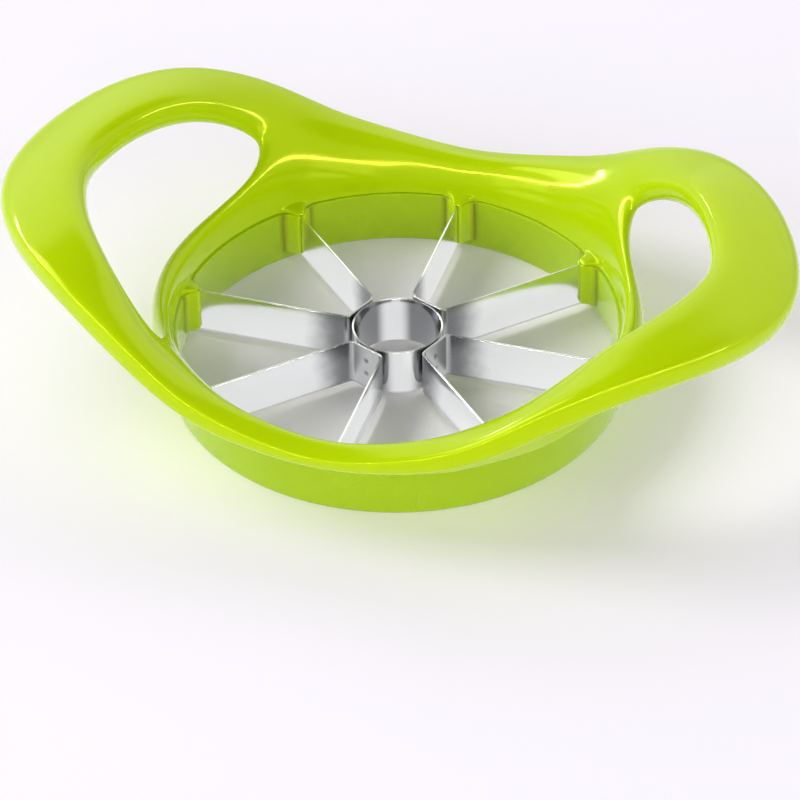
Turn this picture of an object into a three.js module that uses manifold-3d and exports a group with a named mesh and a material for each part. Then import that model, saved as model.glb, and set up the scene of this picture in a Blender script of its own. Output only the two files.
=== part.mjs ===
// Apple slicer and corer: eight radial blades and a core tube in a saddle-bent frame.
// Millimetres, +Z up, origin in the middle of the flat bottom, +X towards one handle.

import * as THREE from "three";
import { mergeVertices } from "three/addons/utils/BufferGeometryUtils.js";
import Module from "manifold-3d";

const wasm = await Module();
wasm.setup();

// Blades and core tube
const bladeHeight = 11.9;
const bladeThickness = 0.55;
const bladeBottom = 1.3; // the cutting edges clear the table by this much
const bevelHeight = 0.9;
const bendRadius = 1.1;
const tubeRadius = 10.8;
const tubeWall = 0.5;
const tubeDrop = 0.3; // how far the tube reaches below the blades
const clearance = 0.3;

// Ring that the blades span
const ringRadius = 52.5;
const partingHeight = bladeBottom + bladeHeight; // the blades lie flush with the parting
const partingStep = 0.4; // the lower wall stands this far inside the upper one
const skirtWall = 2;
const skirtFlare = 0.9;
const skirtEdge = 0.5;

// Posts that hold the blade ends, half in each moulding
const postReach = 2.1;
const postWidth = 4.6;
const postRise = 2.7;
const postRounding = 0.7;
const slotBite = 0.2;
const capBite = 1.2;

// Bar that runs round the frame: its reach from the ring wall and its section
const rimReach = 10;
const handleReach = 42.5;
const handleRise = 28.8;
const handleWidth = 19.8;
const barThickness = 10;

// Walls between the ring and the finger holes
const wallThickness = 2.9;
const wallRise = 1.5;
const strutRise = 7.6;
const strutWidth = 4.4;
const footRise = 3;
const footTaper = 1.2;
const cornerReach = 10.4;
const cornerTopRise = 20.8;
const cornerLowRise = 13.6;
const rootDepth = 4; // how far the wall runs below the parting before it is cut flat
const cutOverrun = 5;

// Shares and angles of the bar, from the middle of the long side to the tip of a handle
const endShare = 0.86;
const sideShare = 1.1;
const fullnessShare = 0.958;
const innerLeanShare = 0.27;
const barStations = [
  { turn: 90, riseShare: 0.198, widthShare: 0.325, thickShare: 0.64, tilt: 10 },
  { turn: 81, riseShare: 0.274, widthShare: 0.352, thickShare: 0.77, tilt: 3 },
  { turn: 72, riseShare: 0.42, widthShare: 0.403, thickShare: 0.85, tilt: 0 },
  { turn: 62, riseShare: 0.705, widthShare: 0.511, thickShare: 0.9, tilt: 0 },
  { turn: 48, riseShare: 0.957, widthShare: 0.72, thickShare: 0.91, tilt: 1 },
  { turn: 32, riseShare: 1.01, widthShare: 0.875, thickShare: 0.95, tilt: 8 },
  { turn: 16, riseShare: 0.983, widthShare: 0.968, thickShare: 1, tilt: 14 },
  { turn: 0, riseShare: 0.972, widthShare: 1, thickShare: 1, tilt: 16 },
];

// Inner crest of the ring wall under the bar, on the first four stations
const crestStations = [
  { turn: 90, radiusShare: 1.032, riseShare: 0.71 },
  { turn: 75, radiusShare: 1.04, riseShare: 0.84 },
  { turn: 60, radiusShare: 1.051, riseShare: 1.16 },
  { turn: 45, radiusShare: 1.055, riseShare: 1.55 },
];

// Strut between the ring and a finger hole, from the corner of the hole to its middle
const strutStations = [
  { turn: 36, radiusShare: 1.044, riseShare: 1.49, widthShare: 0.55, footShare: 0.68 },
  { turn: 24, radiusShare: 1.025, riseShare: 1.13, widthShare: 0.58, footShare: 0.96 },
  { turn: 12, radiusShare: 1.021, riseShare: 1.03, widthShare: 0.72, footShare: 1.1 },
  { turn: 0, radiusShare: 1.021, riseShare: 1, widthShare: 0.86, footShare: 1.18 },
];
const cornerTurn = 43;

const smoothings = 2;
const roundSides = 96;
const bendSteps = 4;
const bladeCount = 8;
const degree = Math.PI / 180;
const bladePitch = 360 / bladeCount;
const crestStep = 15;

// Sizes worked out from the ones above
const lowerWallRadius = ringRadius - partingStep;
const postRadius = lowerWallRadius - postReach;
const slotWidth = bladeThickness + 2 * clearance;
const bladeEnd = lowerWallRadius + slotBite - clearance;
const frameBottom = partingHeight + clearance;
const halfLength = ringRadius + handleReach;
const halfWidth = ringRadius + rimReach;

const materials = {
  handle_frame: { color: 0xbee100, roughness: 0.25, metalness: 0 },
  base_ring: { color: 0xa9cc2a, roughness: 0.32, metalness: 0 },
  steel: { color: 0xc9cacc, roughness: 0.22, metalness: 1 },
};

function polar(radius, turn, z) {
  return new THREE.Vector3(radius * Math.cos(turn * degree), radius * Math.sin(turn * degree), z);
}

// Solid from a three.js geometry, with its shared vertices merged
function solidOf(geometry) {
  const bare = new THREE.BufferGeometry();
  bare.setAttribute("position", geometry.getAttribute("position").clone());
  if (geometry.index) bare.setIndex(geometry.index.clone());
  const merged = mergeVertices(bare, clearance / 1000);
  return new wasm.Manifold(
    new wasm.Mesh({
      numProp: 3,
      vertProperties: new Float32Array(merged.getAttribute("position").array),
      triVerts: new Uint32Array(merged.index.array),
    }),
  );
}

function geometryOf(solid) {
  const mesh = solid.getMesh();
  const geometry = new THREE.BufferGeometry();
  geometry.setAttribute("position", new THREE.BufferAttribute(new Float32Array(mesh.vertProperties), 3));
  geometry.setIndex(new THREE.BufferAttribute(new Uint32Array(mesh.triVerts), 1));
  geometry.computeVertexNormals();
  return geometry;
}

function namedMesh(name, geometry, look) {
  const mesh = new THREE.Mesh(geometry, new THREE.MeshStandardMaterial(look));
  mesh.name = name;
  return mesh;
}

// Smooth surface from a cage of four-sided faces

function edgeKey(a, b) {
  return a < b ? a + "_" + b : b + "_" + a;
}

function middleOf(points) {
  const sum = new THREE.Vector3();
  for (const p of points) sum.add(p);
  return sum.divideScalar(points.length);
}

// One round of Catmull-Clark smoothing
function smooth(cage) {
  const { points, faces } = cage;
  const faceMiddles = faces.map((face) => middleOf(face.map((i) => points[i])));
  const edges = new Map();
  const facesAt = points.map(() => []);
  const edgesAt = points.map(() => []);
  faces.forEach((face, f) => {
    face.forEach((a, k) => {
      const b = face[(k + 1) % face.length];
      const key = edgeKey(a, b);
      facesAt[a].push(f);
      if (!edges.has(key)) edges.set(key, { ends: [a, b], faces: [] });
      edges.get(key).faces.push(f);
    });
  });
  for (const edge of edges.values()) {
    edge.middle = middleOf(edge.ends.map((i) => points[i]));
    for (const end of edge.ends) edgesAt[end].push(edge);
  }
  const moved = points.map((p, i) => {
    const n = facesAt[i].length;
    const faceMiddle = middleOf(facesAt[i].map((f) => faceMiddles[f]));
    const edgeMiddle = middleOf(edgesAt[i].map((edge) => edge.middle));
    return faceMiddle.addScaledVector(edgeMiddle, 2).addScaledVector(p, n - 3).divideScalar(n);
  });
  const edgeStart = points.length + faces.length;
  const edgePoints = [];
  for (const edge of edges.values()) {
    edge.index = edgeStart + edgePoints.length;
    const around = [...edge.ends.map((i) => points[i]), ...edge.faces.map((f) => faceMiddles[f])];
    edgePoints.push(middleOf(around));
  }
  const smaller = [];
  faces.forEach((face, f) => {
    face.forEach((a, k) => {
      const next = edges.get(edgeKey(a, face[(k + 1) % face.length])).index;
      const last = edges.get(edgeKey(a, face[(k + face.length - 1) % face.length])).index;
      smaller.push([a, next, points.length + f, last]);
    });
  });
  return { points: [...moved, ...faceMiddles, ...edgePoints], faces: smaller };
}

// Cage of the handle frame

// A smoothed circle falls inside its cage, so the cage stands out by the same share
function ringPoint(radius, turn, z) {
  return polar((radius * 3) / (2 + Math.cos(crestStep * degree)), turn, z);
}

// Outer edge of the bar seen from above
function outlinePoint(turn) {
  const along = Math.max(Math.cos(turn * degree), 0) ** endShare;
  const across = Math.max(Math.sin(turn * degree), 0) ** sideShare;
  return new THREE.Vector3(halfLength * along, halfWidth * across, 0);
}

function outlineNormal(turn) {
  const step = 0.5;
  if (turn === 90) return new THREE.Vector3(0, 1, 0);
  if (turn === 0) return new THREE.Vector3(1, 0, 0);
  const run = outlinePoint(turn + step).sub(outlinePoint(turn - step));
  return new THREE.Vector3(run.y, -run.x, 0).normalize();
}

// Six corners of the bar's section, leaning outwards by its tilt
function barSection(station) {
  const outwards = outlineNormal(station.turn);
  const width = handleWidth * station.widthShare;
  const across = outwards.clone().multiplyScalar(Math.cos(station.tilt * degree));
  across.z = -Math.sin(station.tilt * degree);
  const up = outwards.clone().multiplyScalar(Math.sin(station.tilt * degree));
  up.z = Math.cos(station.tilt * degree);
  const middle = outlinePoint(station.turn).addScaledVector(outwards, -width / 2);
  middle.z = partingHeight + handleRise * station.riseShare;
  const reach = width / 2 / fullnessShare;
  const lean = innerLeanShare * station.widthShare;
  const half = (barThickness * station.thickShare) / 2;
  const corner = (u, v) => middle.clone().addScaledVector(across, u * reach).addScaledVector(up, v * half);
  return {
    innerTop: corner(-1 - lean, 1),
    top: corner(0, 1),
    outerTop: corner(1, 1),
    outerLow: corner(1, -1),
    low: corner(0, -1),
    innerLow: corner(-1 + lean / 4, -1),
  };
}

// Moves each section out along the bar, so that the smoothed bar passes through its place
function barSections() {
  const plain = barStations.map(barSection);
  const last = plain.length - 1;
  const mirrored = (section, sx, sy) => {
    const flip = new THREE.Vector3(sx, sy, 1);
    return Object.fromEntries(Object.entries(section).map(([k, p]) => [k, p.clone().multiply(flip)]));
  };
  return plain.map((section, i) => {
    const before = i > 0 ? plain[i - 1] : mirrored(plain[1], -1, 1);
    const after = i < last ? plain[i + 1] : mirrored(plain[last - 1], 1, -1);
    const held = Object.entries(section).map(([k, p]) => {
      const pull = before[k].clone().add(after[k]).divideScalar(2).sub(p);
      return [k, p.clone().addScaledVector(pull, -0.5)];
    });
    return Object.fromEntries(held);
  });
}

// Corners that the ring wall has on every station
function wallPoints(turn, radiusShare, riseShare) {
  const root = partingHeight - rootDepth;
  return {
    root: ringPoint(ringRadius, turn, root),
    wall: ringPoint(ringRadius, turn, partingHeight + wallRise),
    crest: ringPoint(ringRadius * radiusShare, turn, partingHeight + strutRise * riseShare),
    outerRoot: ringPoint(ringRadius + wallThickness, turn, root),
  };
}

function strutSection(station) {
  const inner = ringRadius * station.radiusShare;
  const foot = inner + strutWidth * station.footShare;
  const top = partingHeight + strutRise * station.riseShare;
  return {
    ...wallPoints(station.turn, station.radiusShare, station.riseShare),
    innerTop: ringPoint(inner + strutWidth * station.widthShare, station.turn, top),
    innerLow: ringPoint(foot, station.turn, partingHeight + footRise),
    outerRoot: ringPoint(foot - footTaper, station.turn, partingHeight - rootDepth),
  };
}

// Faces of one quarter, from the middle of the long side to the middle of the handle
function quarterFaces() {
  const bars = barSections();
  const joined = crestStations.map((station, i) => ({
    ...bars[i],
    ...wallPoints(station.turn, station.radiusShare, station.riseShare),
  }));
  const corner = joined[joined.length - 1];
  corner.innerTop = polar(ringRadius + cornerReach, cornerTurn, partingHeight + cornerTopRise);
  corner.innerLow = polar(ringRadius + cornerReach, cornerTurn, partingHeight + cornerLowRise);
  const struts = [corner, ...strutStations.map(strutSection)];
  const handle = [corner, ...bars.slice(joined.length)];
  const barLoop = ["innerTop", "top", "outerTop", "outerLow", "low", "innerLow"];
  const faces = [];
  const strip = (sections, loop) => {
    for (let s = 1; s < sections.length; s += 1) {
      loop.forEach((name, k) => {
        const next = loop[(k + 1) % loop.length];
        const [a, b] = [sections[s - 1], sections[s]];
        faces.push([a[name], b[name], b[next], a[next]]);
      });
    }
  };
  strip(joined, ["root", "wall", "crest", ...barLoop, "outerRoot"]);
  strip(struts, ["root", "wall", "crest", "innerTop", "innerLow", "outerRoot"]);
  strip(handle, barLoop);
  return faces;
}

function frameCage() {
  const points = [];
  const faces = [];
  const seen = new Map();
  const indexOf = (p) => {
    const key = p.toArray().map((v) => Math.round((v / ringRadius) * 1e6)).join("_");
    if (!seen.has(key)) {
      seen.set(key, points.length);
      points.push(p);
    }
    return seen.get(key);
  };
  const quarter = quarterFaces();
  for (const sx of [1, -1]) {
    for (const sy of [1, -1]) {
      const flip = new THREE.Vector3(sx, sy, 1);
      for (const face of quarter) {
        const turned = face.map((p) => indexOf(p.clone().multiply(flip)));
        faces.push(sx * sy > 0 ? turned : turned.reverse());
      }
    }
  }
  return { points, faces };
}

function cageGeometry(cage) {
  const geometry = new THREE.BufferGeometry();
  const positions = cage.points.flatMap((p) => p.toArray());
  geometry.setAttribute("position", new THREE.Float32BufferAttribute(positions, 3));
  geometry.setIndex(cage.faces.flatMap(([a, b, c, d]) => [a, b, c, a, c, d]));
  return geometry;
}

// Rounded half of a post that stands on the upper wall and closes the blade slots
function postCap(turn) {
  const inner = postRadius;
  const outer = ringRadius + capBite;
  const top = frameBottom + postRise;
  const side = new THREE.Shape();
  side.moveTo(outer, frameBottom);
  side.lineTo(outer, top);
  side.lineTo(inner + postReach, top);
  side.absellipse(inner + postReach, frameBottom, postReach, postRise, Math.PI / 2, Math.PI, false);
  side.closePath();
  const options = { depth: postWidth, bevelEnabled: false, curveSegments: 6 };
  const geometry = new THREE.ExtrudeGeometry(side, options);
  geometry.translate(0, 0, -postWidth / 2);
  geometry.rotateX(Math.PI / 2);
  geometry.rotateZ(turn * degree);
  return solidOf(geometry);
}

function handleFrame() {
  let cage = frameCage();
  for (let i = 0; i < smoothings; i += 1) cage = smooth(cage);
  const block = new THREE.BoxGeometry(
    2 * (halfLength + cutOverrun),
    2 * (halfWidth + cutOverrun),
    frameBottom + cutOverrun,
  );
  block.translate(0, 0, (frameBottom - cutOverrun) / 2);
  let solid = solidOf(cageGeometry(cage)).subtract(solidOf(block));
  for (let k = 0; k < bladeCount; k += 1) solid = solid.add(postCap(k * bladePitch));
  return geometryOf(solid);
}

// Half post of the base ring: a plan outline with two rounded corners, extruded upwards
function postOutline() {
  const half = postWidth / 2;
  const outer = lowerWallRadius + skirtWall / 2;
  const shape = new THREE.Shape();
  shape.moveTo(outer, -half);
  shape.lineTo(outer, half);
  shape.lineTo(postRadius + postRounding, half);
  shape.absarc(postRadius + postRounding, half - postRounding, postRounding, Math.PI / 2, Math.PI, false);
  shape.lineTo(postRadius, postRounding - half);
  shape.absarc(postRadius + postRounding, postRounding - half, postRounding, Math.PI, 1.5 * Math.PI, false);
  shape.closePath();
  return shape;
}

function baseRing() {
  const profile = [
    new THREE.Vector2(lowerWallRadius, 0),
    new THREE.Vector2(lowerWallRadius + skirtWall - skirtEdge, 0),
    new THREE.Vector2(lowerWallRadius + skirtWall, skirtEdge),
    new THREE.Vector2(lowerWallRadius + skirtWall + skirtFlare, partingHeight),
    new THREE.Vector2(lowerWallRadius, partingHeight),
    new THREE.Vector2(lowerWallRadius, 0),
  ];
  const ring = new THREE.LatheGeometry(profile, roundSides);
  ring.rotateX(Math.PI / 2);
  let solid = solidOf(ring);
  const post = new THREE.ExtrudeGeometry(postOutline(), {
    depth: bladeHeight,
    bevelEnabled: false,
    curveSegments: 3,
  });
  post.translate(0, 0, bladeBottom);
  const slotLength = postReach + slotBite + clearance;
  const slot = new THREE.BoxGeometry(slotLength, slotWidth, bladeHeight + 2 * cutOverrun);
  slot.translate(lowerWallRadius + slotBite - slotLength / 2, 0, bladeBottom + bladeHeight / 2);
  for (let k = 0; k < bladeCount; k += 1) {
    const turned = post.clone().rotateZ(k * bladePitch * degree);
    const cut = slot.clone().rotateZ(k * bladePitch * degree);
    solid = solid.add(solidOf(turned)).subtract(solidOf(cut));
  }
  return geometryOf(solid);
}

// Core tube with a ground lower edge
function coreTube() {
  const bottom = bladeBottom - tubeDrop;
  const profile = [
    new THREE.Vector2(tubeRadius - tubeWall, bottom),
    new THREE.Vector2(tubeRadius, bottom + bevelHeight),
    new THREE.Vector2(tubeRadius, partingHeight),
    new THREE.Vector2(tubeRadius - tubeWall, partingHeight),
    new THREE.Vector2(tubeRadius - tubeWall, bottom),
  ];
  const tube = new THREE.LatheGeometry(profile, roundSides);
  tube.rotateX(Math.PI / 2);
  return geometryOf(solidOf(tube));
}

// Middle line of one strip seen from above: blade, bend, web, bend, blade
function stripLine() {
  const webDistance = tubeRadius + clearance + bladeThickness / 2;
  const half = (bladePitch / 2) * degree;
  const cornerRadius = webDistance / Math.cos(half);
  const line = [polar(bladeEnd, -bladePitch / 2, 0)];
  for (const side of [-1, 1]) {
    const corner = polar(cornerRadius, (side * bladePitch) / 2, 0);
    const alongBlade = polar(1, (side * bladePitch) / 2, 0);
    const alongWeb = new THREE.Vector3(0, -side, 0);
    const start = corner.clone().addScaledVector(side < 0 ? alongBlade : alongWeb, bendRadius);
    const end = corner.clone().addScaledVector(side < 0 ? alongWeb : alongBlade, bendRadius);
    const bend = new THREE.QuadraticBezierCurve3(start, corner, end);
    line.push(...bend.getPoints(bendSteps));
  }
  line.push(polar(bladeEnd, bladePitch / 2, 0));
  return line;
}

// Strip swept along its line, with a ground edge along its bottom
function bladeStrip() {
  const line = stripLine();
  const half = bladeThickness / 2;
  const section = [
    [half, partingHeight],
    [-half, partingHeight],
    [-half, bladeBottom + bevelHeight],
    [0, bladeBottom],
    [half, bladeBottom + bevelHeight],
  ];
  const sides = section.length;
  const positions = [];
  line.forEach((p, i) => {
    const before = p.clone().sub(line[Math.max(i - 1, 0)]).normalize();
    const after = line[Math.min(i + 1, line.length - 1)].clone().sub(p).normalize();
    const along = before.clone().add(after).normalize();
    const normal = new THREE.Vector3(along.y, -along.x, 0);
    const straight = i === 0 || i === line.length - 1;
    const stretch = straight ? 1 : 1 / along.dot(after);
    for (const [offset, z] of section) {
      positions.push(p.x + normal.x * offset * stretch, p.y + normal.y * offset * stretch, z);
    }
  });
  const index = [];
  for (let i = 1; i < line.length; i += 1) {
    for (let k = 0; k < sides; k += 1) {
      const [a, b] = [(i - 1) * sides + k, (i - 1) * sides + ((k + 1) % sides)];
      index.push(a, a + sides, b + sides, a, b + sides, b);
    }
  }
  const endStart = (line.length - 1) * sides;
  for (let k = 1; k < sides - 1; k += 1) {
    index.push(0, k, k + 1);
    index.push(endStart, endStart + k + 1, endStart + k);
  }
  const geometry = new THREE.BufferGeometry();
  geometry.setAttribute("position", new THREE.Float32BufferAttribute(positions, 3));
  geometry.setIndex(index);
  geometry.computeVertexNormals();
  return geometry;
}

const group = new THREE.Group();
group.add(namedMesh("handle_frame", handleFrame(), materials.handle_frame));
group.add(namedMesh("base_ring", baseRing(), materials.base_ring));
group.add(namedMesh("core_tube", coreTube(), materials.steel));
const stripTurns = [-0.5, -2.5, 1.5, 3.5];
stripTurns.forEach((turn, k) => {
  const strip = namedMesh("blade_strip_" + (k + 1), bladeStrip(), materials.steel);
  strip.rotation.z = turn * bladePitch * degree;
  group.add(strip);
});

export default group;
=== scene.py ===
import math

import bmesh
import bpy
from mathutils import Matrix, Vector
from mathutils.bvhtree import BVHTree


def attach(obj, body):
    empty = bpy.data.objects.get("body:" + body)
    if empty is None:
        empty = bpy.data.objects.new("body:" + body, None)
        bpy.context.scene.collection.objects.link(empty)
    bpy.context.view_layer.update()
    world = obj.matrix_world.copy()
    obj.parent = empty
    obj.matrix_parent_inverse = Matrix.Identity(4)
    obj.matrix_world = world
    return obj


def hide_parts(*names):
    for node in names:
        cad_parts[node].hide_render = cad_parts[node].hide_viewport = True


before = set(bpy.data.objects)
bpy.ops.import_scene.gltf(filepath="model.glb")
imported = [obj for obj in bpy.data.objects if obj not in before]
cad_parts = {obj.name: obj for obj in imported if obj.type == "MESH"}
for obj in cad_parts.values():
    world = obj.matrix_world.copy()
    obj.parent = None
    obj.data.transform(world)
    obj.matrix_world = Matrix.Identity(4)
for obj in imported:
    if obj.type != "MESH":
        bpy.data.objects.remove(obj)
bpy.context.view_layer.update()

mm = 0.001  # sizes below are in millimetres and turns in degrees, unless a note says otherwise
scene = bpy.context.scene

print("apple slicer: camera")

# Where the picture was taken from: turned to the right of the front, looking down on the slicer
cameraPlace = {
    "turn": 17.44,
    "rise": 38.16,
    "roll": -0.78,
    "distance": 1345.41,
    "target": (9.61, -29.4, 15.0),
    "focalPixels": 5800.4,
    "pictureWidth": 800,
    "sensor": 36.0,
    "nearest": 10.0,
    "farthest": 20000.0,
}


def buildCamera(place):
    turn, rise, roll = (math.radians(place[k]) for k in ("turn", "rise", "roll"))
    back = Vector((math.sin(turn) * math.cos(rise), -math.cos(turn) * math.cos(rise), math.sin(rise)))
    right = Vector((math.cos(turn), math.sin(turn), 0.0))
    up = back.cross(right)
    across = right * math.cos(roll) + up * math.sin(roll)
    upwards = up * math.cos(roll) - right * math.sin(roll)
    data = bpy.data.cameras.new("view")
    data.sensor_width = place["sensor"]
    data.lens = place["focalPixels"] / place["pictureWidth"] * place["sensor"]
    data.clip_start = place["nearest"] * mm
    data.clip_end = place["farthest"] * mm
    camera = bpy.data.objects.new("view", data)
    turned = Matrix((across, upwards, back)).transposed().to_4x4()
    turned.translation = (Vector(place["target"]) + back * place["distance"]) * mm
    camera.matrix_world = turned
    scene.collection.objects.link(camera)
    scene.camera = camera


buildCamera(cameraPlace)

print("apple slicer: materials")

noiseMiddle = (0.3, 0.7)  # most of a noise lies between these levels


# A screen colour in the linear values that shaders use
def linearColour(hexText):
    channels = [int(hexText[i : i + 2], 16) / 255 for i in (1, 3, 5)]
    return [c / 12.92 if c <= 0.04045 else ((c + 0.055) / 1.055) ** 2.4 for c in channels] + [1.0]


def newMaterial(name):
    material = bpy.data.materials.new(name)
    material.use_nodes = True
    material.node_tree.nodes.clear()
    return material, material.node_tree


# Adds a node, sets its sockets or properties, and links outputs into its sockets
def addNode(tree, kind, settings=None, links=None):
    node = tree.nodes.new("ShaderNode" + kind)
    for name, value in (settings or {}).items():
        if isinstance(name, int) or name in node.inputs:
            node.inputs[name].default_value = value
        else:
            setattr(node, name, value)
    for name, output in (links or {}).items():
        tree.links.new(output, node.inputs[name])
    return node


# A noise with spots of one size
def addNoise(tree, place, size, detail):
    settings = {"Scale": 1 / mm / size, "Detail": detail}
    return addNode(tree, "TexNoise", settings, {"Vector": place}).outputs["Fac"]


# A noise with spots of a size along each axis, turned by radians first if wanted
def addStreaks(tree, place, sizes, detail, turns=(0.0, 0.0, 0.0)):
    scales = tuple(1 / mm / size for size in sizes)
    along = addNode(tree, "Mapping", {"Rotation": turns, "Scale": scales}, {"Vector": place})
    settings = {"Scale": 1.0, "Detail": detail}
    return addNode(tree, "TexNoise", settings, {"Vector": along.outputs[0]}).outputs["Fac"]


# Goes from the first level to the last while a value goes from start to end
def ramp(tree, value, start, end, first=0.0, last=1.0, kind="LINEAR"):
    return addNode(tree, "MapRange", {
        "interpolation_type": kind,
        "From Min": start,
        "From Max": end,
        "To Min": first,
        "To Max": last,
    }, {"Value": value}).outputs[0]


def scaledSum(tree, value, factor, added):
    settings = {"operation": "MULTIPLY_ADD", 1: factor}
    return addNode(tree, "Math", settings, {0: value, 2: added}).outputs[0]


def combined(tree, operation, one, other):
    return addNode(tree, "Math", {"operation": operation}, {0: one, 1: other}).outputs[0]


# Distance from the upright axis in the middle of the slicer
def distanceOut(tree, place):
    flat = addNode(tree, "VectorMath", {"operation": "MULTIPLY", 1: (1.0, 1.0, 0.0)}, {0: place})
    return addNode(tree, "VectorMath", {"operation": "LENGTH"}, {0: flat.outputs[0]}).outputs["Value"]


# A colour that wanders between two shades with a noise
def wandering(tree, noise, low, high):
    settings = {"data_type": "RGBA", 6: linearColour(low), 7: linearColour(high)}
    return addNode(tree, "Mix", settings, {0: noise}).outputs[2]


# Covers a colour with another one as far as the mask says
def covered(tree, colour, mask, cover):
    settings = {"data_type": "RGBA", 7: linearColour(cover)}
    return addNode(tree, "Mix", settings, {0: mask, 6: colour}).outputs[2]


def finishMetal(tree, finish, colour, roughness, lines):
    settings = {"Strength": finish["reliefStrength"], "Distance": finish["reliefHeight"] * mm}
    relief = addNode(tree, "Bump", settings, {"Height": lines})
    shader = addNode(tree, "BsdfPrincipled", {"Metallic": 1.0}, {
        "Base Color": colour,
        "Roughness": roughness,
        "Normal": relief.outputs[0],
    })
    addNode(tree, "OutputMaterial", {}, {"Surface": shader.outputs[0]})


# What the two mouldings have in common
absSkin = {
    "flowDetail": 3.0,
    "peelDetail": 1.5,
    "peelStrength": 0.25,
    "peelHeight": 0.02,
    "scratchWidth": 0.12,  # coarser than real handling marks so that they show
    "scratchTilt": (0.3, 0.2),  # radians, as the turns
    "scratchTurns": (0.5, 2.1),
    "scratchLevels": (0.72, 0.84),  # of the noise, where a mark begins and where it is deepest
    "scratchRoughness": 0.12,
    "scratchStrength": 0.15,
    "scratchDepth": 0.01,
    "ior": 1.54,
    "lightReach": (2.0, 2.4, 0.4),  # of red, green and blue inside the plastic
}

# Moulded ABS, highly polished tool: an even saturated lime with crisp, faintly yellow highlights
frameFinish = {
    "colour": "#B1CF02",
    "paler": "#B8D609",
    "flowSize": 24.0,  # cloudy change of tone where the melt ran
    "peelSize": 1.6,  # ripple of the moulded skin
    "scratchLength": 4.0,
    "roughness": (0.08, 0.13),
    "sheenTint": (1.0, 1.0, 0.1, 1.0),
    "subsurface": 0.06,
}

# The same ABS from a finely textured tool, which spreads its highlights; its darker green than the
# frame's is painted shade
ringFinish = {
    "colour": "#A2C206",
    "paler": "#A9C90E",
    "flowSize": 18.0,
    "peelSize": 0.5,
    "scratchLength": 3.0,
    "roughness": (0.2, 0.28),
    "sheenTint": (1.0, 1.0, 0.3, 1.0),
    "subsurface": 0.6,
    "postPaintedLightColour": "#BEDC06",  # painted light: the posts get a brighter green than the wall behind them
    "postEnd": 51.4,  # from the middle of the slicer
    "wallStart": 52.0,
}


def mouldedAbs(name, finish):
    material, tree = newMaterial(name)
    place = addNode(tree, "TexCoord").outputs["Object"]
    flow = addNoise(tree, place, finish["flowSize"], absSkin["flowDetail"])
    tone = wandering(tree, flow, finish["colour"], finish["paler"])
    # Painted light on the posts, which sit in the shade inside the ring
    if "postPaintedLightColour" in finish:
        out = distanceOut(tree, place)
        postLightMask = ramp(tree, out, finish["wallStart"] * mm, finish["postEnd"] * mm)
        tone = covered(tree, tone, postLightMask, finish["postPaintedLightColour"])
    # Fine rubbing marks in two directions
    width = absSkin["scratchWidth"]
    marks = []
    for turn in absSkin["scratchTurns"]:
        turns = (*absSkin["scratchTilt"], turn)
        streaks = addStreaks(tree, place, (finish["scratchLength"], width, width), 0.0, turns)
        marks.append(ramp(tree, streaks, *absSkin["scratchLevels"]))
    scratches = combined(tree, "MAXIMUM", *marks)
    sheen = ramp(tree, flow, *noiseMiddle, *finish["roughness"])
    rubbed = scaledSum(tree, scratches, absSkin["scratchRoughness"], sheen)
    peel = addNoise(tree, place, finish["peelSize"], absSkin["peelDetail"])
    ripple = addNode(tree, "Bump", {
        "Strength": absSkin["peelStrength"],
        "Distance": absSkin["peelHeight"] * mm,
    }, {"Height": peel})
    grooves = addNode(tree, "Bump", {
        "Strength": absSkin["scratchStrength"],
        "Distance": absSkin["scratchDepth"] * mm,
        "invert": True,
    }, {"Height": scratches, "Normal": ripple.outputs[0]})
    shader = addNode(tree, "BsdfPrincipled", {
        "IOR": absSkin["ior"],
        "Specular Tint": finish["sheenTint"],
        "Subsurface Weight": finish["subsurface"],
        "Subsurface Radius": tuple(reach * mm for reach in absSkin["lightReach"]),
        "Subsurface Scale": 1.0,
    }, {
        "Base Color": tone,
        "Roughness": rubbed,
        "Normal": grooves.outputs[0],
    })
    addNode(tree, "OutputMaterial", {}, {"Surface": shader.outputs[0]})
    return material


# Cold-rolled stainless strip: bright and lightly grained, with painted shade that darkens it in the
# corners beside the web
stripFinish = {
    "colour": "#F6F7F8",
    "deeper": "#ECEDEF",
    "cornerShadeTint": "#7E7F82",
    "cornerEnd": 17.0,  # from the middle, where the painted corner shade begins to clear
    "unshadedFrom": 26.0,
    "smearReach": 5.0,  # how far the smears push that border about
    # share of the painted corner shade that lies on the web itself
    "webShadeShare": 0.5,
    "webEnd": 12.2,
    "bladeStart": 13.5,
    "grainHeight": 0.18,  # real rolling lines are finer and would not show
    "grainLength": 14.0,
    "grainDetail": 3.0,
    "smearSize": 7.0,
    "smearDetail": 3.0,
    "roughness": (0.15, 0.23),
    "cornerRoughness": 0.08,
    "grindWidth": 0.16,  # between the grinding lines that cross the bevel
    "grindLength": 9.0,
    "grindDetail": 1.0,
    "bevelTop": 2.2,  # above the table
    "bevelBlend": 0.05,
    "weldHeights": (9.6, 5.9),
    "weldRadius": 0.6,
    "weldShares": (1.5, 0.7),  # of the radius, where the dull spot begins and where it is full
    "weldTint": "#8C8B89",
    "weldRoughness": 0.1,
    "webPlace": 11.4,
    "reliefStrength": 0.3,
    "reliefHeight": 0.01,
}

# Drawn stainless tube, polished: near-mirror with faint lines along the draw, and painted shade that
# darkens it beside the webs
tubeFinish = {
    "colour": "#F6F7F8",
    "deeper": "#EAEBED",
    "webShadeTint": "#858688",
    "webs": 4,
    "gapTurn": -67.5,  # middle of one of the gaps between the webs
    "gapLevels": (-0.2, 0.9),  # where the painted shade beside a web is full and where it ends
    "lineWidth": 0.22,
    "lineLength": 9.0,
    "lineDetail": 2.0,
    "roughness": (0.07, 0.14),
    "reliefStrength": 0.2,
    "reliefHeight": 0.006,
}


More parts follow.
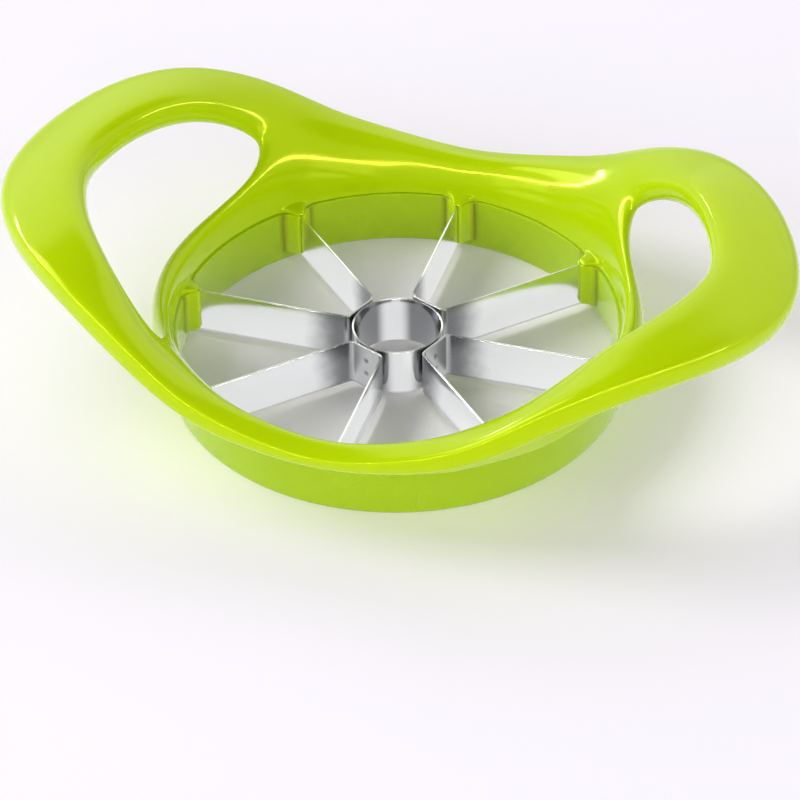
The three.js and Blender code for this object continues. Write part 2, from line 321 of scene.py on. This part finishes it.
def groundStainless(name, finish):
    material, tree = newMaterial(name)
    place = addNode(tree, "TexCoord").outputs["Object"]
    grainSizes = (finish["grainLength"], finish["grainLength"], finish["grainHeight"])
    grain = addStreaks(tree, place, grainSizes, finish["grainDetail"])
    smear = addNoise(tree, place, finish["smearSize"], finish["smearDetail"])
    # Grinding lines stand upright on the bevel
    grindSizes = (finish["grindWidth"], finish["grindWidth"], finish["grindLength"])
    grind = addStreaks(tree, place, grindSizes, finish["grindDetail"])
    height = addNode(tree, "SeparateXYZ", {}, {0: place}).outputs[2]
    bevelTop, blend = finish["bevelTop"], finish["bevelBlend"]
    onBevel = ramp(tree, height, (bevelTop + blend) * mm, (bevelTop - blend) * mm)
    lines = addNode(tree, "Mix", {"data_type": "FLOAT"}, {0: onBevel, 2: grain, 3: grind}).outputs[0]
    # Painted shade in the corners beside the web, by the distance from the middle of the slicer
    out = distanceOut(tree, place)
    cloudy = scaledSum(tree, smear, finish["smearReach"] * mm, out)
    cornerEnd, unshadedFrom = finish["cornerEnd"] * mm, finish["unshadedFrom"] * mm
    cornerShade = ramp(tree, cloudy, cornerEnd, unshadedFrom, 1.0, 0.0, "SMOOTHSTEP")
    pastWeb = ramp(tree, out, finish["webEnd"] * mm, finish["bladeStart"] * mm, finish["webShadeShare"])
    shadeMask = combined(tree, "MULTIPLY", cornerShade, pastWeb)
    # Two spot welds on the web, each a faint dull spot
    begins, full = (finish["weldRadius"] * share * mm for share in finish["weldShares"])
    spots = []
    for weldHeight in finish["weldHeights"]:
        middle = (finish["webPlace"] * mm, 0.0, weldHeight * mm)
        away = addNode(tree, "VectorMath", {"operation": "DISTANCE", 1: middle}, {0: place})
        spots.append(ramp(tree, away.outputs["Value"], begins, full))
    weld = combined(tree, "MAXIMUM", *spots)
    tone = wandering(tree, lines, finish["deeper"], finish["colour"])
    shaded = covered(tree, tone, shadeMask, finish["cornerShadeTint"])
    tinted = covered(tree, shaded, weld, finish["weldTint"])
    sheen = ramp(tree, smear, *noiseMiddle, *finish["roughness"])
    rougher = scaledSum(tree, shadeMask, finish["cornerRoughness"], sheen)
    dulled = scaledSum(tree, weld, finish["weldRoughness"], rougher)
    finishMetal(tree, finish, tinted, dulled, lines)
    return material


def polishedTube(name, finish):
    material, tree = newMaterial(name)
    place = addNode(tree, "TexCoord").outputs["Object"]
    lineSizes = (finish["lineWidth"], finish["lineWidth"], finish["lineLength"])
    lines = addStreaks(tree, place, lineSizes, finish["lineDetail"])
    tone = wandering(tree, lines, finish["deeper"], finish["colour"])
    # Even gaps round the tube: 1 in the middle of a gap, -1 behind the middle of a web
    parts = addNode(tree, "SeparateXYZ", {}, {0: place})
    angle = combined(tree, "ARCTAN2", parts.outputs[1], parts.outputs[0])
    repeated = addNode(tree, "Math", {
        "operation": "MULTIPLY_ADD",
        1: finish["webs"],
        2: -finish["webs"] * math.radians(finish["gapTurn"]),
    }, {0: angle})
    gap = addNode(tree, "Math", {"operation": "COSINE"}, {0: repeated.outputs[0]}).outputs[0]
    # Painted shade that darkens the tube beside each web
    webShade = ramp(tree, gap, *finish["gapLevels"], 1.0, 0.0, "SMOOTHSTEP")
    shaded = covered(tree, tone, webShade, finish["webShadeTint"])
    sheen = ramp(tree, lines, *noiseMiddle, *finish["roughness"])
    finishMetal(tree, finish, shaded, sheen, lines)
    return material


limeAbs = mouldedAbs("lime_polished_abs", frameFinish)
greenAbs = mouldedAbs("green_satin_abs", ringFinish)
stripSteel = groundStainless("rolled_stainless_strip", stripFinish)
tubeSteel = polishedTube("drawn_stainless_tube", tubeFinish)


# Turns a bmesh in millimetres into a smooth piece of the slicer
def addPiece(name, shaped, material, nodeName, turn=0.0):
    bmesh.ops.recalc_face_normals(shaped, faces=shaped.faces)
    bmesh.ops.scale(shaped, vec=(mm, mm, mm), verts=shaped.verts)
    for face in shaped.faces:
        face.smooth = True
    mesh = bpy.data.meshes.new(name)
    shaped.to_mesh(mesh)
    shaped.free()
    mesh.materials.append(material)
    piece = bpy.data.objects.new(name, mesh)
    piece.rotation_euler.z = math.radians(turn)
    scene.collection.objects.link(piece)
    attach(piece, "root")
    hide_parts(nodeName)


def polar(radius, turn, z):
    return Vector((radius * math.cos(math.radians(turn)), radius * math.sin(math.radians(turn)), z))


# Adds a grid of quads between rows of points, closed round each row if wanted
def addGrid(shaped, rows, closed=False):
    grid = [[shaped.verts.new(p) for p in row] for row in rows]
    count = len(grid[0])
    for a, b in zip(grid, grid[1:]):
        for k in range(count if closed else count - 1):
            shaped.faces.new((a[k], a[(k + 1) % count], b[(k + 1) % count], b[k]))
    return grid


print("apple slicer: handle frame")

# The upper moulding: a saddle-bent rim with a round opening and two finger holes
frameSizes = {
    "ringRadius": 52.5,
    "parting": 13.2,
    "bottom": 13.5,
    "halfLength": 95.0,
    "halfWidth": 62.5,
    "handleRise": 28.8,
    "handleWidth": 19.8,
    "barThickness": 10.0,
    "wallThickness": 2.9,
    "wallRise": 1.5,
    "rootDepth": 4.0,
    "strutRise": 7.6,
    "strutWidth": 4.4,
    "footRise": 3.0,
    "footTaper": 1.2,
    "cornerReach": 10.4,
    "cornerTopRise": 20.8,
    "cornerLowRise": 13.6,
    "cornerTurn": 43,
    "crestStep": 15,
    "endShare": 0.86,
    "sideShare": 1.1,
    "fullness": 0.958,
    "edgeDrop": 0.94,
    "innerLean": 0.18,
    "lowLeanShare": 0.2,  # of that lean, at the bottom of the bar
    "lowDropShare": 0.25,  # how far a bottom edge drops that is placed outwards
    "topSharpness": 0.8,  # of the face's upper edge, as a share of its lower edge's
    "lipRadius": 0.14,
    "lipShares": (0.0, 0.08, 0.25, 0.55, 1.0),  # of that radius, the heights of the cuts
    "rounds": 4,
}

# Bar from the middle of the long side to the tip of a handle: turn, rise, width, thickness, tilt,
# where the outer face ends (1 is its top edge, -1 the bottom of the bar), sideways place of the
# bottom edge under it, and how sharp that lower edge of the face is
barStations = [
    (90, 0.198, 0.325, 0.64, 10, 0.05, 0.27, 0.36),
    (81, 0.274, 0.352, 0.77, 3, -0.1, 0.1, 0.36),
    (72, 0.42, 0.403, 0.85, 0, -0.3, -0.1, 0.36),
    (62, 0.705, 0.511, 0.9, 0, -0.6, -0.25, 0.34),
    (48, 0.957, 0.72, 0.91, 1, -0.72, -0.2, 0.3),
    (32, 1.01, 0.875, 0.95, 8, -0.65, -0.05, 0.28),
    (16, 0.983, 0.968, 1.0, 14, -0.72, 0.0, 0.24),
    (0, 0.972, 1.0, 1.0, 16, -0.8, 0.0, 0.22),
]

# Inner crest of the ring wall: turn, radius, rise
crestStations = [(90, 1.032, 0.71), (75, 1.04, 0.84), (60, 1.051, 1.16), (45, 1.055, 1.55)]

# Strut between the opening and a finger hole: turn, radius, rise, width, foot
strutStations = [
    (36, 1.044, 1.49, 0.55, 0.68),
    (24, 1.025, 1.13, 0.58, 0.96),
    (12, 1.021, 1.03, 0.72, 1.1),
    (0, 1.021, 1.0, 0.86, 1.18),
]

# Wedge-shaped posts that hold the blade ends: one plan for the lower half and for its cap above
postSizes = {
    "count": 8,
    "tipRadius": 49.3,
    "tipHalf": 1.0,
    "wallHalf": 2.9,
    "tipRound": 0.5,
    "rootRound": 1.8,
    "roundSteps": 6,
    "capBottom": 13.32,
    "capRise": 1.25,
    "capSunk": 0.03,  # how deep the back of a cap lies in the wall
    "capTurns": range(0, 66, 6),
    # above the turns, rise and depth as shares of the cap's
    "capRunOut": [(0.945, 0.345), (0.985, 0.27), (1.04, 0.19), (1.11, 0.115), (1.2, 0.05), (1.3, 0.0)],
}


# A point of the cage, far enough out for the smoothed ring to keep the radius
def ringPoint(radius, turn, z):
    share = 3 / (2 + math.cos(math.radians(frameSizes["crestStep"])))
    return polar(radius * share, turn, z)


def outlinePoint(turn):
    along = max(math.cos(math.radians(turn)), 0.0) ** frameSizes["endShare"]
    across = max(math.sin(math.radians(turn)), 0.0) ** frameSizes["sideShare"]
    return Vector((frameSizes["halfLength"] * along, frameSizes["halfWidth"] * across, 0.0))


# Outwards from the outline, square to a short piece of it
def outlineNormal(turn):
    if turn == 90:
        return Vector((0, 1, 0))
    if turn == 0:
        return Vector((1, 0, 0))
    run = outlinePoint(turn + 0.5) - outlinePoint(turn - 0.5)
    return Vector((run.y, -run.x, 0)).normalized()


def barSection(station):
    s = frameSizes
    turn, rise, wide, thick, tilt, faceEnd, lowPlace = station[:-1]
    outwards = outlineNormal(turn)
    width = s["handleWidth"] * wide
    tilt = math.radians(tilt)
    across = outwards * math.cos(tilt) - Vector((0, 0, math.sin(tilt)))
    up = outwards * math.sin(tilt) + Vector((0, 0, math.cos(tilt)))
    middle = outlinePoint(turn) - outwards * (width / 2)
    middle.z = s["parting"] + s["handleRise"] * rise
    reach = width / 2 / s["fullness"]
    lean = s["innerLean"] * wide
    half = s["barThickness"] * thick / 2
    places = {
        "innerTop": (-1 - lean, 1),
        "top": (0, 1),
        "outerTop": (1, s["edgeDrop"]),
        "outerLow": (1, faceEnd),
        "low": (lowPlace, -1 - max(lowPlace, 0) * s["lowDropShare"]),
        "innerLow": (-1 - lean * s["lowLeanShare"], -1),
    }
    return {name: middle + across * (u * reach) + up * (v * half) for name, (u, v) in places.items()}


# All sections of the bar, each moved away from its neighbours so that smoothing brings it back
def barSections():
    plain = [barSection(station) for station in barStations]

    def flipped(section, sx, sy):
        return {name: Vector((p.x * sx, p.y * sy, p.z)) for name, p in section.items()}

    held = []
    for i, section in enumerate(plain):
        before = plain[i - 1] if i > 0 else flipped(plain[1], -1, 1)
        after = plain[i + 1] if i < len(plain) - 1 else flipped(plain[-2], 1, -1)
        held.append({k: p * 1.5 - (before[k] + after[k]) / 4 for k, p in section.items()})
    return held


def wallPoints(turn, radiusShare, riseShare):
    radius, parting = frameSizes["ringRadius"], frameSizes["parting"]
    root = parting - frameSizes["rootDepth"]
    return {
        "root": ringPoint(radius, turn, root),
        "wall": ringPoint(radius, turn, parting + frameSizes["wallRise"]),
        "crest": ringPoint(radius * radiusShare, turn, parting + frameSizes["strutRise"] * riseShare),
        "outerRoot": ringPoint(radius + frameSizes["wallThickness"], turn, root),
    }


def strutSection(station):
    s = frameSizes
    turn, radiusShare, riseShare, widthShare, footShare = station
    inner, parting = s["ringRadius"] * radiusShare, s["parting"]
    top, foot = inner + s["strutWidth"] * widthShare, inner + s["strutWidth"] * footShare
    section = wallPoints(turn, radiusShare, riseShare)
    section["innerTop"] = ringPoint(top, turn, parting + s["strutRise"] * riseShare)
    section["innerLow"] = ringPoint(foot, turn, parting + s["footRise"])
    section["outerRoot"] = ringPoint(foot - s["footTaper"], turn, parting - s["rootDepth"])
    return section


def quarterFaces():
    s = frameSizes
    bars = barSections()
    joined = [{**bars[i], **wallPoints(*station)} for i, station in enumerate(crestStations)]
    corner = joined[-1]
    cornerRadius = s["ringRadius"] + s["cornerReach"]
    for name, rise in (("innerTop", "cornerTopRise"), ("innerLow", "cornerLowRise")):
        corner[name] = polar(cornerRadius, s["cornerTurn"], s["parting"] + s[rise])
    barLoop = ["innerTop", "top", "outerTop", "outerLow", "low", "innerLow"]
    runs = [
        (joined, ["root", "wall", "crest"] + barLoop + ["outerRoot"]),
        ([corner] + [strutSection(station) for station in strutStations],
         ["root", "wall", "crest", "innerTop", "innerLow", "outerRoot"]),
        ([corner] + bars[len(joined):], barLoop),
    ]
    faces = []
    for sections, loop in runs:
        for a, b in zip(sections, sections[1:]):
            for k, name in enumerate(loop):
                after = loop[(k + 1) % len(loop)]
                faces.append((a[name], b[name], b[after], a[after]))
    return faces


# The two edges of the rim's outer face, each run with its sharpness
def sharpEdges():
    bars = barSections()
    edges = []
    for i, (a, b) in enumerate(zip(bars, bars[1:])):
        sharpness = (barStations[i][-1] + barStations[i + 1][-1]) / 2
        edges.append((a["outerTop"], b["outerTop"], sharpness * frameSizes["topSharpness"]))
        edges.append((a["outerLow"], b["outerLow"], sharpness))
    return edges


# The cage of one quarter, mirrored to all four and smoothed
def smoothedFrame():
    cage = bmesh.new()
    sharp = cage.edges.layers.float.new("crease_edge")
    corners = {}

    def corner(p, sx, sy):
        moved = Vector((p.x * sx, p.y * sy, p.z))
        key = tuple(round(v * 1000) for v in moved)
        if key not in corners:
            corners[key] = cage.verts.new(moved)
        return corners[key]

    for sx, sy in ((1, 1), (1, -1), (-1, 1), (-1, -1)):
        for face in quarterFaces():
            ring = [corner(p, sx, sy) for p in face]
            cage.faces.new(ring if sx * sy > 0 else ring[::-1])
        for a, b, sharpness in sharpEdges():
            cage.edges.get((corner(a, sx, sy), corner(b, sx, sy)))[sharp] = sharpness
    mesh = bpy.data.meshes.new("frame_cage")
    cage.to_mesh(mesh)
    cage.free()
    holder = bpy.data.objects.new("frame_cage", mesh)
    scene.collection.objects.link(holder)
    smoothing = holder.modifiers.new("smoothing", "SUBSURF")
    smoothing.levels = frameSizes["rounds"]
    bpy.context.view_layer.update()
    shaped = bmesh.new()
    shaped.from_object(holder, bpy.context.evaluated_depsgraph_get())
    bpy.data.objects.remove(holder)
    bpy.data.meshes.remove(mesh)
    return shaped


# Cuts the wall flat at its bottom and rounds the two edges of the lip
def cutLip(shaped):
    bottom, radius, tolerance = frameSizes["bottom"], frameSizes["lipRadius"], 1e-5
    for share in frameSizes["lipShares"]:
        bmesh.ops.bisect_plane(
            shaped,
            geom=shaped.verts[:] + shaped.edges[:] + shaped.faces[:],
            plane_co=(0, 0, bottom + radius * share),
            plane_no=(0, 0, 1),
            clear_inner=share == 0,
        )
    shaped.normal_update()
    moves = []
    for vert in shaped.verts:
        height = vert.co.z - bottom
        if height < radius - tolerance:
            inset = radius - math.sqrt(max(radius**2 - (radius - height) ** 2, 0))
            flat = Vector((vert.normal.x, vert.normal.y, 0)).normalized()
            moves.append((vert, flat * -inset))
    for vert, move in moves:
        vert.co += move
    bmesh.ops.bridge_loops(shaped, edges=[edge for edge in shaped.edges if edge.is_boundary])


# Half the plan of a post, from its middle or its slot out to the wall: sideways place and depth
def postPlan(start, reach):
    s = postSizes
    tip, wall = Vector((s["tipHalf"], reach)), Vector((s["wallHalf"], 0))
    sideways, flank = Vector((1, 0)), (wall - tip).normalized()
    points = [Vector((start, reach))]
    for corner, before, after, size in (
        (tip, sideways, flank, s["tipRound"]), (wall, flank, sideways, s["rootRound"]),
    ):
        for i in range(s["roundSteps"] + 1):
            t = i / s["roundSteps"]
            arriving = (corner - before * size).lerp(corner, t)
            leaving = corner.lerp(corner + after * size, t)
            points.append(arriving.lerp(leaving, t))
    return points


# A cap curves up like part of an ellipse, then runs out on the wall in a hollow
def addCaps(shaped):
    s = postSizes
    tree = BVHTree.FromBMesh(shaped)
    reach, sunk = frameSizes["ringRadius"] - s["tipRadius"], s["capSunk"]
    lipTop = frameSizes["bottom"] + frameSizes["lipRadius"]
    half = postPlan(0.0, reach)
    sides = [(-p.x, p.y / reach) for p in half[:0:-1]] + [(p.x, p.y / reach) for p in half]
    heights = [(math.sin(math.radians(t)), math.cos(math.radians(t))) for t in s["capTurns"]]
    heights += s["capRunOut"]
    for k in range(s["count"]):
        turn = k * 360 / s["count"]
        out, side = polar(1, turn, 0), polar(1, turn + 90, 0)
        rows = []
        for rise, share in heights:
            row = []
            for across, depth in sides:
                start = side * across + Vector((0, 0, s["capBottom"] + rise * s["capRise"]))
                wall = tree.ray_cast(Vector((start.x, start.y, max(start.z, lipTop))), out)[3]
                row.append(start + out * (wall + sunk - (reach + sunk) * share * depth))
            rows.append(row)
        grid = addGrid(shaped, rows)
        shaped.faces.new(grid[0])


def buildFrame():
    shaped = smoothedFrame()
    cutLip(shaped)
    addCaps(shaped)
    addPiece("handle_frame_moulding", shaped, limeAbs, "handle_frame")


buildFrame()

print("apple slicer: base ring")

# The lower moulding: a low skirt with eight slotted posts on its inner wall
ringSizes = {
    "wallRadius": 52.1,
    "bottomWall": 2.0,
    "topWall": 2.9,
    "height": 13.42,
    "bulge": 0.12,
    "edge": 0.45,
    "edgeSteps": 4,
    "topEdge": 0.2,
    "innerEdge": 0.12,
    "topSteps": 3,
    "wallSteps": 9,
    "sides": 192,
    "postBottom": 2.0,
    "postTop": 13.28,
    "postRoot": 0.3,  # how deep the posts reach into the wall
    "footInsets": [(0.0, 0.3), (0.1, 0.1), (0.3, 0.0)],  # height from the post's bottom, inset
    "headInsets": [(-0.05, 0.0), (0.0, 0.03)],  # height from its top, inset
    "slotHalf": 0.31,
    "slotEdge": 0.12,
    "slotTurns": (270, 190),  # from the side of the slot almost to the tip's face
    "slotSteps": 3,
}


def arcPoints(centre, radius, start, end, steps):
    angles = [math.radians(start + (end - start) * i / steps) for i in range(steps + 1)]
    return [(centre[0] + radius * math.cos(a), centre[1] + radius * math.sin(a)) for a in angles]


# Turns a closed profile of radius and height round the upright axis
def turned(shaped, profile, sides, tolerance=1e-4):
    rows = [[polar(r, 360 * i / sides, z) for i in range(sides)] for r, z in profile]
    addGrid(shaped, rows + [rows[0]], closed=True)
    bmesh.ops.remove_doubles(shaped, verts=shaped.verts, dist=tolerance)


# Two halves with the slot for the blade between them
def addPost(shaped, turn):
    s = ringSizes
    out, side = polar(1, turn, 0), polar(1, turn + 90, 0)
    wall, inner = s["wallRadius"], postSizes["tipRadius"]
    half, edge = s["slotHalf"], s["slotEdge"]
    plan = [(wall - p.y, p.x) for p in postPlan(half + edge, wall - inner)]
    outline = [(wall + s["postRoot"], half)]
    outline += arcPoints((inner + edge, half + edge), edge, *s["slotTurns"], s["slotSteps"])
    outline += plan + [(wall + s["postRoot"], plan[-1][1])]
    middle = Vector((wall, postSizes["tipHalf"]))
    levels = [(s["postBottom"] + height, inset) for height, inset in s["footInsets"]]
    levels += [(s["postTop"] + height, inset) for height, inset in s["headInsets"]]
    for way in (1, -1):
        rows = []
        for z, inset in levels:
            row = []
            for r, across in outline:
                p = Vector((r, across))
                p += (middle - p).normalized() * inset
                row.append(out * p.x + side * (p.y * way) + Vector((0, 0, z)))
            rows.append(row)
        grid = addGrid(shaped, rows, closed=True)
        shaped.faces.new(grid[0])
        shaped.faces.new(grid[-1][::-1])


def buildRing():
    s = ringSizes
    inner, height, edge = s["wallRadius"], s["height"], s["edge"]
    foot, top = inner + s["bottomWall"], inner + s["topWall"]
    topEdge, innerEdge = s["topEdge"], s["innerEdge"]
    profile = arcPoints((inner + edge, edge), edge, 180, 270, s["edgeSteps"])
    profile += arcPoints((foot - edge, edge), edge, 270, 360, s["edgeSteps"])
    for i in range(1, s["wallSteps"]):
        share = i / s["wallSteps"]
        bulge = s["bulge"] * math.sin(math.pi * share)
        profile.append((foot + (top - foot) * share + bulge, edge + (height - edge) * share))
    profile += arcPoints((top - topEdge, height - topEdge), topEdge, 0, 90, s["topSteps"])
    profile += arcPoints((inner + innerEdge, height - innerEdge), innerEdge, 90, 180, s["topSteps"])
    shaped = bmesh.new()
    turned(shaped, profile, s["sides"])
    for k in range(postSizes["count"]):
        addPost(shaped, k * 360 / postSizes["count"])
    addPiece("base_ring_moulding", shaped, greenAbs, "base_ring")


buildRing()

print("apple slicer: core tube and blades")

# The tube that takes out the core
tubeSizes = {
    "radius": 10.8,
    "wall": 0.5,
    "bottom": 1.0,
    "top": 13.2,
    "bevel": 0.9,
    "cuttingEdge": (0.04, 0.05),  # width and height of its rounding
    "bevelEdge": (0.03, 0.06),
    "edge": 0.14,
    "edgeSteps": 4,
    "sides": 128,
}


def buildTube():
    s = tubeSizes
    outer, inner = s["radius"], s["radius"] - s["wall"]
    bottom, top, bevelEnd = s["bottom"], s["top"], s["bottom"] + s["bevel"]
    edge, steps = s["edge"], s["edgeSteps"]
    profile = [
        (inner, bottom + s["cuttingEdge"][1]), (inner + s["cuttingEdge"][0], bottom),
        (outer - s["bevelEdge"][0], bevelEnd), (outer, bevelEnd + s["bevelEdge"][1]),
    ]
    profile += arcPoints((outer - edge, top - edge), edge, 0, 90, steps)
    profile += arcPoints((inner + edge, top - edge), edge, 90, 180, steps)
    shaped = bmesh.new()
    turned(shaped, profile, s["sides"])
    addPiece("core_tube_steel", shaped, tubeSteel, "core_tube")


# A strip: blade, bend, web against the tube, bend, blade
stripSizes = {
    "top": 13.2,
    "bottom": 1.3,
    "bevel": 0.9,
    "bevelEdge": (0.02, 0.03),  # width and height of its rounding
    "thickness": 0.55,
    "bladeTurn": 22.5,  # from the middle of the web
    "webDistance": 11.375,
    "bend": 1.1,
    "bendSteps": 8,
    "webSteps": 40,
    "bladeSteps": 12,
    "heightSteps": 40,
    "end": 52.0,
    "topEdge": 0.12,
    "topEdgeShare": 0.3,
    "weldDepth": 0.07,
    "weldReach": 1.6,  # this and the next three as shares of the weld's radius or depth
    "burrPlace": 1.15,
    "burrWidth": 0.2,
    "burrHeight": 0.3,
    "webEnd": 12.0,
    "turns": (-22.5, -112.5, 67.5, 157.5),
}


def stripLine():
    s = stripSizes
    turns = (-s["bladeTurn"], s["bladeTurn"])
    cornerRadius = s["webDistance"] / math.cos(math.radians(s["bladeTurn"]))
    corners = [polar(cornerRadius, t, 0) for t in turns]
    blades = [polar(1, t, 0) for t in turns]
    ends = [polar(s["end"], t, 0) for t in turns]
    webway = Vector((0, 1, 0))
    first, second = (corner + blade * s["bend"] for corner, blade in zip(corners, blades))
    webStart, webEnd = corners[0] + webway * s["bend"], corners[1] - webway * s["bend"]
    line = []

    def bend(start, corner, end):
        for i in range(s["bendSteps"] + 1):
            t = i / s["bendSteps"]
            line.append(start * (1 - t) ** 2 + corner * (2 * t * (1 - t)) + end * t**2)

    line += [ends[0].lerp(first, i / s["bladeSteps"]) for i in range(s["bladeSteps"])]
    bend(first, corners[0], webStart)
    line += [webStart.lerp(webEnd, i / s["webSteps"]) for i in range(1, s["webSteps"])]
    bend(webEnd, corners[1], second)
    line += [second.lerp(ends[1], i / s["bladeSteps"]) for i in range(1, s["bladeSteps"] + 1)]
    return line


# Cross-section of a strip: place outwards from its middle line, and height
def stripSection():
    s = stripSizes
    half, top, bevelEnd = s["thickness"] / 2, s["top"], s["bottom"] + s["bevel"]
    edge, small = s["topEdge"], s["topEdge"] * s["topEdgeShare"]
    width, height = s["bevelEdge"]
    steps = s["heightSteps"]
    outerSide = [(half, bevelEnd + (top - edge - bevelEnd) * i / steps) for i in range(steps + 1)]
    return [
        (0.0, s["bottom"]), (half - width, bevelEnd - height), *outerSide,
        (half - small, top - small), (half - edge, top), (edge - half, top), (small - half, top - small),
        (-half, top - edge), (-half, bevelEnd), (width - half, bevelEnd - height),
    ]


# How far an electrode pressed the web in at one place, less the burr that it raised round the dent
def weldDent(p, z):
    s = stripSizes
    dent = 0.0
    for height in stripFinish["weldHeights"]:
        away = math.hypot(p.y, z - height) / stripFinish["weldRadius"]
        if p.x < s["webEnd"] and away < s["weldReach"]:
            burr = math.exp(-(((away - s["burrPlace"]) / s["burrWidth"]) ** 2))
            dent += s["weldDepth"] * (math.cos(math.pi * min(away, 1)) / 2 + 0.5)
            dent -= s["weldDepth"] * s["burrHeight"] * burr
    return dent


def buildStrip(number, turn):
    line, section = stripLine(), stripSection()
    rows = []
    for i, p in enumerate(line):
        before = (p - line[max(i - 1, 0)]).normalized()
        after = (line[min(i + 1, len(line) - 1)] - p).normalized()
        along = (before + after).normalized()
        normal = Vector((along.y, -along.x, 0))
        row = []
        for offset, z in section:
            pressed = weldDent(p, z) if offset > 0 else 0.0
            row.append(p + normal * (offset - pressed) + Vector((0, 0, z)))
        rows.append(row)
    shaped = bmesh.new()
    grid = addGrid(shaped, rows, closed=True)
    shaped.faces.new(grid[0])
    shaped.faces.new(grid[-1][::-1])
    node = f"blade_strip_{number}"
    addPiece(f"{node}_steel", shaped, stripSteel, node, turn)


buildTube()
for number, turn in enumerate(stripSizes["turns"], 1):
    buildStrip(number, turn)

print("apple slicer: floor and lamps")

studio = {
    "floorColour": "#FBF6FF",
    "floorSize": 8000.0,
    "floorInMirrors": 0.75,  # how far glossy surfaces see the table as pure white
    "glow": 1.38,
    # sine of the height above the table, and how bright the studio's walls are there
    "walls": [(0.0, 0.55), (0.2, 0.6), (0.32, 1.0), (0.66, 1.0), (0.78, 0.02), (1.0, 0.02)],
    "aimHeight": 15.0,  # above the table, of the point that every lamp faces
}

# name, turn, rise, distance, size, watts
lamps = [
    ("softbox_left", 180, 42, 2600, (1400, 1400), 30.0),
    ("softbox_front_left", 225, 15, 1300, (700, 500), 2.1),
    ("softbox_front_right", 315, 15, 1300, (700, 500), 2.2),
]

# A row of strips from the left round the front to the right, which only glossy surfaces see: they
# draw the highlights along the rounded edges
edgeLamps = {
    "turns": (165, 202, 239, 276, 313, 350),
    "rise": 26,
    "distance": 1300,
    "size": (860, 50),
    "watts": 4.8,
}


def buildFloor():
    shaped = bmesh.new()
    half = studio["floorSize"] / 2 * mm
    addGrid(shaped, [[Vector((x, y, 0)) for x in (-half, half)] for y in (-half, half)])
    mesh = bpy.data.meshes.new("floor")
    shaped.to_mesh(mesh)
    shaped.free()
    floor = bpy.data.objects.new("floor", mesh)
    scene.collection.objects.link(floor)
    material, tree = newMaterial("matt_white_table")
    paint = addNode(tree, "BsdfDiffuse", {"Color": linearColour(studio["floorColour"])}).outputs[0]
    glow = addNode(tree, "Emission", {"Color": (1, 1, 1, 1), "Strength": 1.0}).outputs[0]
    glossy = addNode(tree, "LightPath").outputs["Is Glossy Ray"]
    settings = {"operation": "MULTIPLY", 1: studio["floorInMirrors"]}
    share = addNode(tree, "Math", settings, {0: glossy}).outputs[0]
    mixed = addNode(tree, "MixShader", {}, {0: share, 1: paint, 2: glow})
    addNode(tree, "OutputMaterial", {}, {"Surface": mixed.outputs[0]})
    mesh.materials.append(material)


# White walls all round, brightest at half height, under a dark ceiling
def buildWorld():
    world = bpy.data.worlds.new("studio")
    world.use_nodes = True
    tree = world.node_tree
    tree.nodes.clear()
    way = addNode(tree, "TexCoord").outputs["Generated"]
    parts = addNode(tree, "SeparateXYZ", {}, {0: way})
    walls = addNode(tree, "ValToRGB", {}, {"Fac": parts.outputs[2]})
    shades = walls.color_ramp
    shades.interpolation = "EASE"
    for place, (height, level) in enumerate(studio["walls"]):
        step = shades.elements[place] if place < 2 else shades.elements.new(height)
        step.position = height
        step.color = (level, level, level, 1)
    light = addNode(tree, "Background", {"Strength": studio["glow"]}, {"Color": walls.outputs[0]})
    addNode(tree, "OutputWorld", {}, {"Surface": light.outputs[0]})
    scene.world = world


def buildLamp(name, turn, rise, distance, size, watts):
    data = bpy.data.lights.new(name, "AREA")
    data.shape = "RECTANGLE"
    data.size, data.size_y = size[0] * mm, size[1] * mm
    data.energy = watts
    lamp = bpy.data.objects.new(name, data)
    flat = distance * math.cos(math.radians(rise))
    lamp.location = polar(flat, turn, distance * math.sin(math.radians(rise))) * mm
    aim = Vector((0, 0, studio["aimHeight"] * mm))
    lamp.rotation_euler = (aim - lamp.location).to_track_quat("-Z", "Y").to_euler()
    scene.collection.objects.link(lamp)
    return lamp


def buildLamps():
    for lamp in lamps:
        buildLamp(*lamp)
    s = edgeLamps
    for turn in s["turns"]:
        strip = buildLamp(f"strip_{turn}", turn, s["rise"], s["distance"], s["size"], s["watts"])
        strip.visible_diffuse = False


buildFloor()
buildWorld()
buildLamps()

scene.view_settings.view_transform = "Standard"
